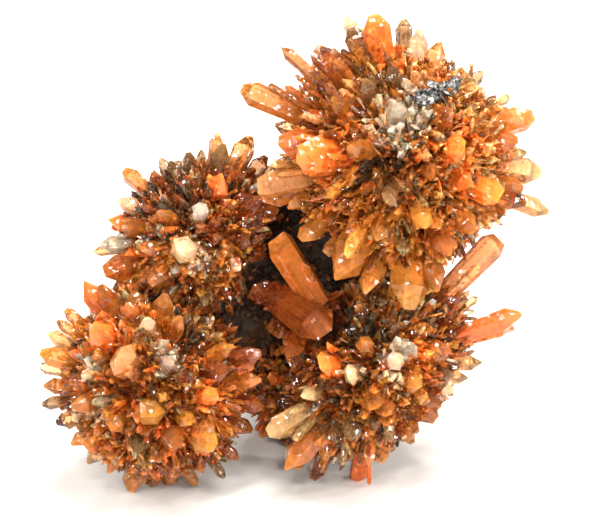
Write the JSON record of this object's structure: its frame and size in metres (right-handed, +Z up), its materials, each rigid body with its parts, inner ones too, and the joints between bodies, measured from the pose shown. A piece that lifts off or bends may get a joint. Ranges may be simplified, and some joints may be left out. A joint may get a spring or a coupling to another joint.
{
  "type": "creedite cluster",
  "caption": "Natural mineral specimen: a cluster of radiating sprays of flat-faced orange translucent prisms grown together on a lump of dark matrix.",
  "frame": {"origin": "under the middle of the bounding box, on the surface that the cluster stands on", "axes": "+Z up from the surface, +Y away from the front that the picture shows, +X to the right as the front is seen"},
  "size_m": [0.0808, 0.0532, 0.0725],
  "materials": {
    "creedite": "translucent orange crystal with bright flat faces",
    "matrix_rock": "rough dark iron-stained rock"
  },
  "bodies": {
    "root": {"matrix": "matrix_rock", "upper_spray": "creedite", "left_spray": "creedite", "lower_left_spray": "creedite", "lower_right_spray": "creedite", "middle_spray": "creedite", "rear_spray": "creedite"}
  },
  "joints": []
}
